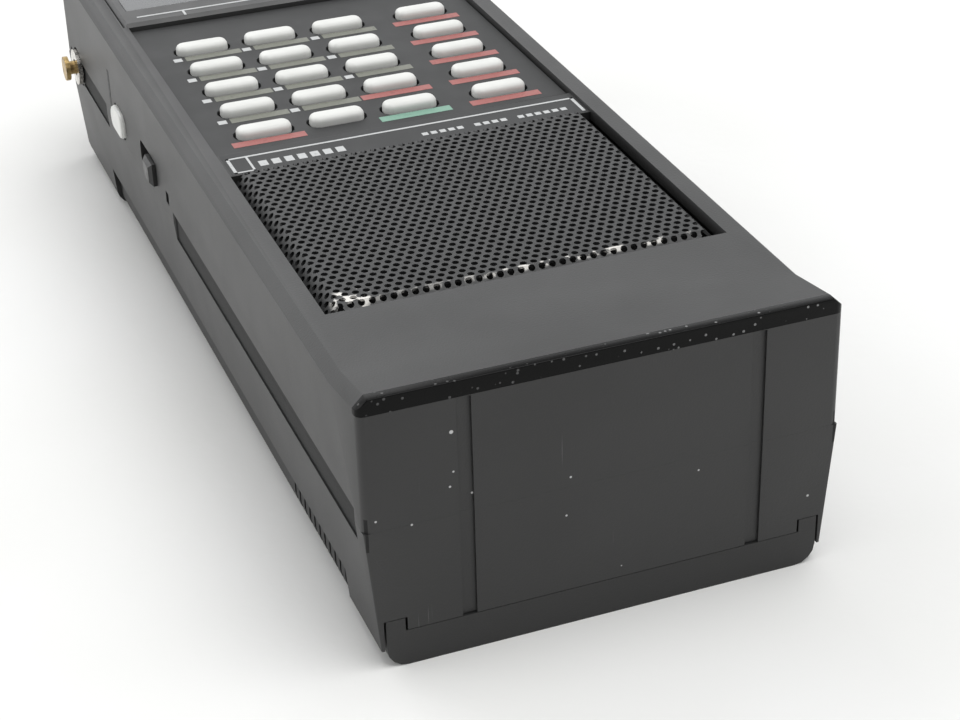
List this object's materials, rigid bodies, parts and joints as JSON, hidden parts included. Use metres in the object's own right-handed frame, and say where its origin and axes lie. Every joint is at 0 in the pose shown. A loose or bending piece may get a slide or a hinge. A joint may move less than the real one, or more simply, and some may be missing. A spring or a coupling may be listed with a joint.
{
  "type": "handheld scanning receiver",
  "caption": "Handheld multi-band air and general scanning receiver with white keypad, perforated speaker grille, side controls, knobs and slide-off battery cover.",
  "frame": {"origin": "on the plane that the back rests on, under the middle of the body's width and length", "axes": "+X to the receiver's right, +Y along the body to the antenna end, +Z out of the front face; the receiver lies on its back"},
  "size_m": [0.0686, 0.185, 0.0406],
  "materials": {
    "case_plastic": "fine matt texture, dark grey",
    "cover_plastic": "fine matt texture, darker grey",
    "panel_plastic": "satin, mid grey with printed bars",
    "bezel_plastic": "satin, dark grey",
    "window_plastic": "clear, smoked",
    "display_glass": "grey-green, gloss",
    "grille_sheet": "black paint, worn to metal at the folds",
    "felt": "black felt",
    "plated_steel": "bright zinc plate",
    "cone_paper": "black paper",
    "ferrite": "ground ferrite",
    "mat_rubber": "matt grey",
    "board_laminate": "green solder mask",
    "tin_plate": "tin plate",
    "cell_sleeve": "printed sleeve, plain",
    "nickel": "nickel plate",
    "brass": "worn brass",
    "black_plastic": "satin black",
    "key_plastic": "off-white, satin"
  },
  "bodies": {
    "radio": {"front_case": "case_plastic", "rear_case": "case_plastic", "keypad_panel": "panel_plastic", "display_bezel": "bezel_plastic", "display_window": "window_plastic", "lcd_panel": "display_glass", "speaker_grille": "grille_sheet", "grille_cloth": "felt", "speaker_frame": "plated_steel", "speaker_cone": "cone_paper", "speaker_magnet": "ferrite", "keypad_mat": "mat_rubber", "keypad_board": "board_laminate", "main_board": "board_laminate", "tuner_shield": "tin_plate", "battery_cell_1": "cell_sleeve", "battery_cell_2": "cell_sleeve", "battery_cell_3": "cell_sleeve", "battery_cell_4": "cell_sleeve", "terminal_board": "board_laminate", "contact_bridge": "nickel", "side_button_switch": "black_plastic", "slide_switch": "black_plastic", "strap_stud": "brass", "strap_washer": "nickel", "bnc_jack": "nickel", "bnc_nut": "nickel", "volume_pot": "nickel", "squelch_pot": "nickel", "earphone_jack": "black_plastic", "dc_jack": "black_plastic", "case_screw_1": "plated_steel", "case_screw_2": "plated_steel", "case_screw_3": "plated_steel", "case_screw_4": "plated_steel"},
    "battery_cover": {"battery_cover": "cover_plastic"},
    "side_button": {"side_button": "key_plastic"},
    "slide_knob": {"slide_knob": "black_plastic"},
    "volume_knob": {"volume_knob": "black_plastic"},
    "squelch_knob": {"squelch_knob": "black_plastic"},
    "key_row1_col1": {"key_row1_col1": "key_plastic"},
    "key_row1_col2": {"key_row1_col2": "key_plastic"},
    "key_row1_col3": {"key_row1_col3": "key_plastic"},
    "key_row1_col4": {"key_row1_col4": "key_plastic"},
    "key_row2_col1": {"key_row2_col1": "key_plastic"},
    "key_row2_col2": {"key_row2_col2": "key_plastic"},
    "key_row2_col3": {"key_row2_col3": "key_plastic"},
    "key_row2_col4": {"key_row2_col4": "key_plastic"},
    "key_row3_col1": {"key_row3_col1": "key_plastic"},
    "key_row3_col2": {"key_row3_col2": "key_plastic"},
    "key_row3_col3": {"key_row3_col3": "key_plastic"},
    "key_row3_col4": {"key_row3_col4": "key_plastic"},
    "key_row4_col1": {"key_row4_col1": "key_plastic"},
    "key_row4_col2": {"key_row4_col2": "key_plastic"},
    "key_row4_col3": {"key_row4_col3": "key_plastic"},
    "key_row4_col4": {"key_row4_col4": "key_plastic"},
    "key_row5_col1": {"key_row5_col1": "key_plastic"},
    "key_row5_col2": {"key_row5_col2": "key_plastic"},
    "key_row5_col3": {"key_row5_col3": "key_plastic"},
    "key_row5_col4": {"key_row5_col4": "key_plastic"}
  },
  "joints": [
    {"name": "key_row1_col1_press", "type": "slide", "parent": "radio", "child": "key_row1_col1", "axis": [0, 0, -1], "range_m": [0, 0.001], "stiffness_N_per_m": 100, "springref_m": -0.001},
    {"name": "key_row1_col2_press", "type": "slide", "parent": "radio", "child": "key_row1_col2", "axis": [0, 0, -1], "range_m": [0, 0.001], "stiffness_N_per_m": 100, "springref_m": -0.001},
    {"name": "key_row1_col3_press", "type": "slide", "parent": "radio", "child": "key_row1_col3", "axis": [0, 0, -1], "range_m": [0, 0.001], "stiffness_N_per_m": 100, "springref_m": -0.001},
    {"name": "key_row1_col4_press", "type": "slide", "parent": "radio", "child": "key_row1_col4", "axis": [0, 0, -1], "range_m": [0, 0.001], "stiffness_N_per_m": 100, "springref_m": -0.001},
    {"name": "key_row2_col1_press", "type": "slide", "parent": "radio", "child": "key_row2_col1", "axis": [0, 0, -1], "range_m": [0, 0.001], "stiffness_N_per_m": 100, "springref_m": -0.001},
    {"name": "key_row2_col2_press", "type": "slide", "parent": "radio", "child": "key_row2_col2", "axis": [0, 0, -1], "range_m": [0, 0.001], "stiffness_N_per_m": 100, "springref_m": -0.001},
    {"name": "key_row2_col3_press", "type": "slide", "parent": "radio", "child": "key_row2_col3", "axis": [0, 0, -1], "range_m": [0, 0.001], "stiffness_N_per_m": 100, "springref_m": -0.001},
    {"name": "key_row2_col4_press", "type": "slide", "parent": "radio", "child": "key_row2_col4", "axis": [0, 0, -1], "range_m": [0, 0.001], "stiffness_N_per_m": 100, "springref_m": -0.001},
    {"name": "key_row3_col1_press", "type": "slide", "parent": "radio", "child": "key_row3_col1", "axis": [0, 0, -1], "range_m": [0, 0.001], "stiffness_N_per_m": 100, "springref_m": -0.001},
    {"name": "key_row3_col2_press", "type": "slide", "parent": "radio", "child": "key_row3_col2", "axis": [0, 0, -1], "range_m": [0, 0.001], "stiffness_N_per_m": 100, "springref_m": -0.001},
    {"name": "key_row3_col3_press", "type": "slide", "parent": "radio", "child": "key_row3_col3", "axis": [0, 0, -1], "range_m": [0, 0.001], "stiffness_N_per_m": 100, "springref_m": -0.001},
    {"name": "key_row3_col4_press", "type": "slide", "parent": "radio", "child": "key_row3_col4", "axis": [0, 0, -1], "range_m": [0, 0.001], "stiffness_N_per_m": 100, "springref_m": -0.001},
    {"name": "key_row4_col1_press", "type": "slide", "parent": "radio", "child": "key_row4_col1", "axis": [0, 0, -1], "range_m": [0, 0.001], "stiffness_N_per_m": 100, "springref_m": -0.001},
    {"name": "key_row4_col2_press", "type": "slide", "parent": "radio", "child": "key_row4_col2", "axis": [0, 0, -1], "range_m": [0, 0.001], "stiffness_N_per_m": 100, "springref_m": -0.001},
    {"name": "key_row4_col3_press", "type": "slide", "parent": "radio", "child": "key_row4_col3", "axis": [0, 0, -1], "range_m": [0, 0.001], "stiffness_N_per_m": 100, "springref_m": -0.001},
    {"name": "key_row4_col4_press", "type": "slide", "parent": "radio", "child": "key_row4_col4", "axis": [0, 0, -1], "range_m": [0, 0.001], "stiffness_N_per_m": 100, "springref_m": -0.001},
    {"name": "key_row5_col1_press", "type": "slide", "parent": "radio", "child": "key_row5_col1", "axis": [0, 0, -1], "range_m": [0, 0.001], "stiffness_N_per_m": 100, "springref_m": -0.001},
    {"name": "key_row5_col2_press", "type": "slide", "parent": "radio", "child": "key_row5_col2", "axis": [0, 0, -1], "range_m": [0, 0.001], "stiffness_N_per_m": 100, "springref_m": -0.001},
    {"name": "key_row5_col3_press", "type": "slide", "parent": "radio", "child": "key_row5_col3", "axis": [0, 0, -1], "range_m": [0, 0.001], "stiffness_N_per_m": 100, "springref_m": -0.001},
    {"name": "key_row5_col4_press", "type": "slide", "parent": "radio", "child": "key_row5_col4", "axis": [0, 0, -1], "range_m": [0, 0.001], "stiffness_N_per_m": 100, "springref_m": -0.001},
    {"name": "side_button_press", "type": "slide", "parent": "radio", "child": "side_button", "axis": [1, 0, 0], "range_m": [0, 0.0008], "stiffness_N_per_m": 120, "springref_m": -0.001},
    {"name": "slide_knob_slide", "type": "slide", "parent": "radio", "child": "slide_knob", "axis": [0, 1, 0], "range_m": [0, 0.0056]},
    {"name": "volume_turn", "type": "hinge", "parent": "radio", "child": "volume_knob", "pos_m": [0.0012, 0.087, 0.0294], "axis": [0, -1, 0], "range_deg": [-150, 150]},
    {"name": "squelch_turn", "type": "hinge", "parent": "radio", "child": "squelch_knob", "pos_m": [0.0172, 0.087, 0.0294], "axis": [0, -1, 0], "range_deg": [-150, 150]},
    {"name": "battery_cover_slide", "type": "slide", "parent": "radio", "child": "battery_cover", "axis": [0, -1, 0], "range_m": [0, 0.15]}
  ]
}
